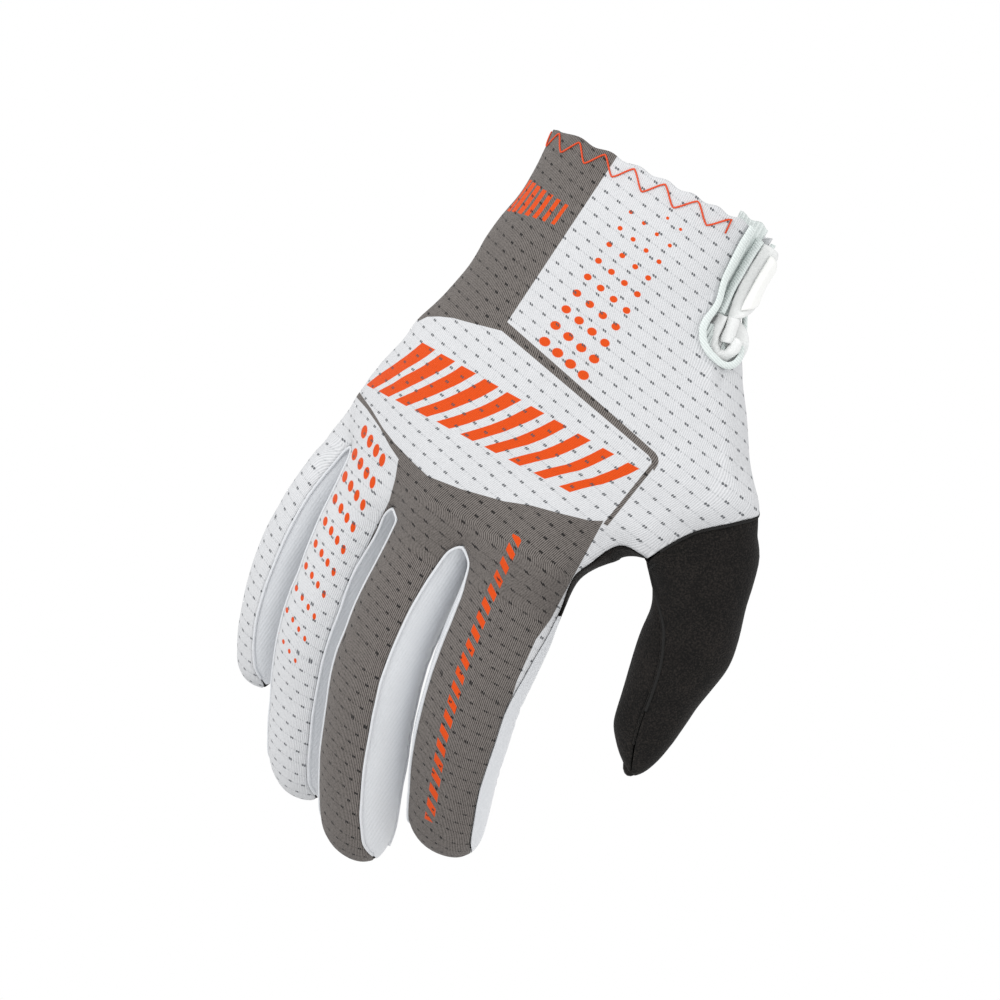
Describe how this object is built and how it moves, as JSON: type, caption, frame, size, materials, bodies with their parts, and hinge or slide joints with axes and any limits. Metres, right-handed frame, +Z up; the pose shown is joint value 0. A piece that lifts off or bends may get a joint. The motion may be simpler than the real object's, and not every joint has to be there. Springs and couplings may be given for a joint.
{
  "type": "motocross glove",
  "caption": "Filled right-hand riding glove, fingers down, light knit back with colour blocks, dark suede palm and thumb, side strips on the fingers and a wrist slit with a closure strap.",
  "frame": {"origin": "centre of the cuff opening, where the hand goes in", "axes": "+Z up out of the wrist, so the fingers point down along -Z; the back of the hand faces -Y; the thumb side is +X"},
  "size_m": [0.1494, 0.073, 0.2168],
  "materials": {
    "knit": "ribbed and perforated polyester knit with printed grey and orange blocks",
    "suede": "matt synthetic suede",
    "twill": "satin stretch twill",
    "binding": "folded elastic binding",
    "strap": "laminated neoprene strap",
    "grip": "smooth matt moulded face",
    "hook": "hook and loop tape"
  },
  "bodies": {
    "root": {"back_panel": "knit", "palm_panel": "suede", "fourchette_little_ring": "twill", "fourchette_ring_middle": "twill", "fourchette_middle_index": "twill", "fourchette_index_outer": "twill", "slit_binding": "binding", "slit_gusset": "binding", "slit_facing": "binding", "strap_seam_roll": "binding", "closure_strap": "strap", "strap_grip": "grip", "strap_hook_patch": "hook", "strap_loop_pad": "hook", "thumb_outer": "suede", "thumb_inner": "suede"}
  },
  "joints": []
}
